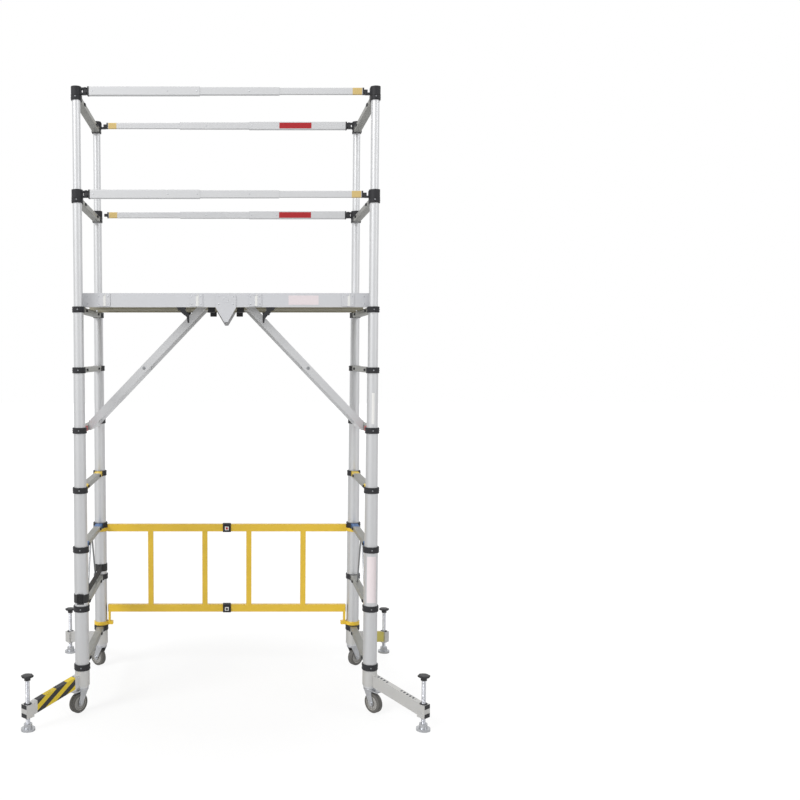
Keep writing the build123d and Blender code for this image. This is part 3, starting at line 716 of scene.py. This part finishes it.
# %% Buckle
buckle = Bench()
BUCKLE_Z = 0.585
BUCKLE_Y = -POST_Y - 0.0395
for rise in (-0.024, 0.024):
    buckle.block((-POST_X, BUCKLE_Y, BUCKLE_Z + rise), (0.036, 0.004, 0.005), 0.001)
for step in (-0.016, -0.005, 0.005, 0.016):
    buckle.block((-POST_X + step, BUCKLE_Y, BUCKLE_Z), (0.004, 0.004, 0.048), 0.001)
buckle.deliver("strap_buckle", "base", "black_plastic", black_plastic)

# %% [markdown]
# ## Rear frame details
# Each centre clip has a white front with a push button, red above and black below, and a plastic
# plug closes the outer end of every bar.

# %% Clip buttons and bar plugs
FRAME_TOP_Z = 0.814
FRAME_LOW_Z = 0.344
BUTTON_Y = 0.3160
clip_fronts = Bench()
red_button = Bench()
dark_buttons = Bench()
for z in (FRAME_TOP_Z, FRAME_LOW_Z):
    clip_fronts.block((0, 0.3184, z), (0.022, 0.003, 0.021), 0.0008)
red_button.disc((0, BUTTON_Y, FRAME_TOP_Z), (0, -1, 0), 0.0065, 0.004, 0.001)
dark_buttons.disc((0, BUTTON_Y, FRAME_LOW_Z), (0, -1, 0), 0.0065, 0.004, 0.001)
for sx in (-1, 1):
    for z in (FRAME_TOP_Z, FRAME_LOW_Z):
        dark_buttons.block((sx * 0.6875, POST_Y, z), (0.003, 0.0242, 0.0412), 0.001)
clip_fronts.deliver("clip_fronts", "base", "black_plastic", white_vinyl)
red_button.deliver("clip_red_button", "base", "black_plastic", red_plastic)
dark_buttons.deliver("frame_plugs", "base", "black_plastic", black_plastic)

# %% [markdown]
# ## Outrigger and castor details
# The block at the end of each arm has a black plastic bushing above and below, where the spindle
# runs through, and a cap on its outer face. Six lobes make the black handle easy to grip. Each
# castor has a raised hub, axle nuts and a zinc-plated bearing ring under the post.

# %% Bushings, grips, hubs and nuts
HEADING = {"front_left": 230.0, "front_right": -52.0, "back_left": 140.0, "back_right": 38.0}
TRAIL = 0.028
AXLE_Z = 0.050
LOBE_RING = 0.0248
LOBE_Z = 0.2668
NUT_FACE = 0.0222
grey_plastic = moulded("grey_plastic", paint(0.34, 0.335, 0.32), paint(0.26, 0.255, 0.245))
for corner, (sx, sy) in corners.items():
    foot_x = sx * (POST_X + ARM_SIDE)
    foot_y = sy * (POST_Y + ARM_FRONT)
    arm_turn = math.atan2(sy * ARM_FRONT, sx * ARM_SIDE)
    bushings = Bench()
    for z in (0.1305, 0.0655):
        bushings.turned([(0.0108, z - 0.0020), (0.0190, z - 0.0020), (0.0190, z + 0.0020),
                         (0.0108, z + 0.0020)], (foot_x, foot_y, 0), (0, 0, 1))
    reach = ARM_REACH + 0.0222
    for z in (0.120, 0.076):
        cap_spot = (sx * POST_X + reach * math.cos(arm_turn), sy * POST_Y + reach * math.sin(arm_turn), z)
        bushings.block(cap_spot, (0.003, 0.040, 0.020), 0.001, arm_turn)
    bushings.deliver(f"{corner}_bushings", f"{corner}_arm", "black_plastic", black_plastic)
    lobes = Bench()
    for turn in range(6):
        angle = turn * math.tau / 6
        lobe_spot = (foot_x + LOBE_RING * math.cos(angle), foot_y + LOBE_RING * math.sin(angle), LOBE_Z)
        lobes.disc(lobe_spot, (0, 0, 1), 0.0056, 0.0076, 0.0015, 14)
    lobes.deliver(f"{corner}_grip_lobes", f"{corner}_spindle_body", "black_plastic", black_plastic)
    angle = math.radians(HEADING[corner])
    across = Vector((-math.sin(angle), math.cos(angle), 0))
    hub_x = sx * POST_X + TRAIL * math.cos(angle)
    hub_y = sy * POST_Y + TRAIL * math.sin(angle)
    hub = Vector((hub_x, hub_y, AXLE_Z))
    hubs = Bench()
    nuts = Bench()
    for face in (-1, 1):
        hubs.turned([(0.0150, 0.0088), (0.0300, 0.0088), (0.0310, 0.0118), (0.0275, 0.0132),
                     (0.0180, 0.0132), (0.0150, 0.0118)], hub, across * face)
        nuts.disc(hub + across * face * NUT_FACE, across * face, 0.0085, 0.005, 0.0010, 6)
    hubs.deliver(f"{corner}_wheel_hub", f"{corner}_wheel_body", "wheel_rubber", grey_plastic)
    nuts.turned([(0.0225, 0.1150), (0.0310, 0.1150), (0.0310, 0.1195), (0.0225, 0.1195)],
                (sx * POST_X, sy * POST_Y, 0), (0, 0, 1))
    nuts.deliver(f"{corner}_castor_nuts", f"{corner}_castor", "zinc_steel", zinc_steel)

# %% [markdown]
# ## Studio
# The tower stands on a white floor that runs out of sight. A camera ray that meets the floor far
# from the tower sees plain white, so no horizon shows, and near the tower it still sees the
# shadow. Metal mirrors the white of the sky. Two soft suns light the tower evenly from foot to top,
# with an even sky between them.

# %% Floor and lights
floor_mesh = bmesh.new()
bmesh.ops.create_grid(floor_mesh, x_segments=1, y_segments=1, size=30)
floor_data = bpy.data.meshes.new("floor")
floor_mesh.to_mesh(floor_data)
floor = bpy.data.objects.new("floor", floor_data)
bpy.context.scene.collection.objects.link(floor)
WHITE_NEAR = 0.80
WHITE_FAR = 1.6
SHADOW_REACH = 0.6
finish = Finish("floor_white")
seen = finish.node("ShaderNodeLightPath", {}, {}, "Is Camera Ray")
distance = (finish.x * finish.x + finish.y * finish.y).power(0.5)
fade = {"Value": distance, "From Min": SHADOW_REACH, "From Max": WHITE_FAR, "To Min": WHITE_NEAR,
        "To Max": 1.0}
spread = finish.node("ShaderNodeMapRange", {"clamp": True}, fade)
white = seen * spread
finish.shader.inputs["Emission Strength"].default_value = 1.0
coat(["floor"], finish.surface(base_color=finish.mix(white, paint(0.80, 0.80, 0.80), paint(0, 0, 0)),
                               emission_color=finish.mix(white, paint(0, 0, 0), paint(1, 1, 1)),
                               roughness=0.8))

world = bpy.data.worlds.new("studio")
bpy.context.scene.world = world
world.use_nodes = True
sky = world.node_tree.nodes["Background"]
path = world.node_tree.nodes.new("ShaderNodeLightPath")
seen_or_mirrored = world.node_tree.nodes.new("ShaderNodeMath")
seen_or_mirrored.operation = "MAXIMUM"
world.node_tree.links.new(path.outputs["Is Camera Ray"], seen_or_mirrored.inputs[0])
world.node_tree.links.new(path.outputs["Is Glossy Ray"], seen_or_mirrored.inputs[1])
SKY = 0.40
lit = world.node_tree.nodes.new("ShaderNodeMath")
lit.operation = "MULTIPLY_ADD"
world.node_tree.links.new(seen_or_mirrored.outputs[0], lit.inputs[0])
lit.inputs[1].default_value = 1.0 - SKY
lit.inputs[2].default_value = SKY
world.node_tree.links.new(lit.outputs[0], sky.inputs["Strength"])
sky.inputs["Color"].default_value = (1, 1, 1, 1)

for name, place, strength in (("key", (-4.0, -3.5, 4.0), 2.2), ("fill", (4.5, -3.0, 2.5), 0.5)):
    lamp_data = bpy.data.lights.new(name, "SUN")
    lamp_data.angle = math.radians(25)
    lamp_data.energy = strength
    lamp = bpy.data.objects.new(name, lamp_data)
    bpy.context.scene.collection.objects.link(lamp)
    lamp.rotation_euler = (-Vector(place)).to_track_quat("-Z", "Y").to_euler()
bpy.context.scene.view_settings.view_transform = "Standard"
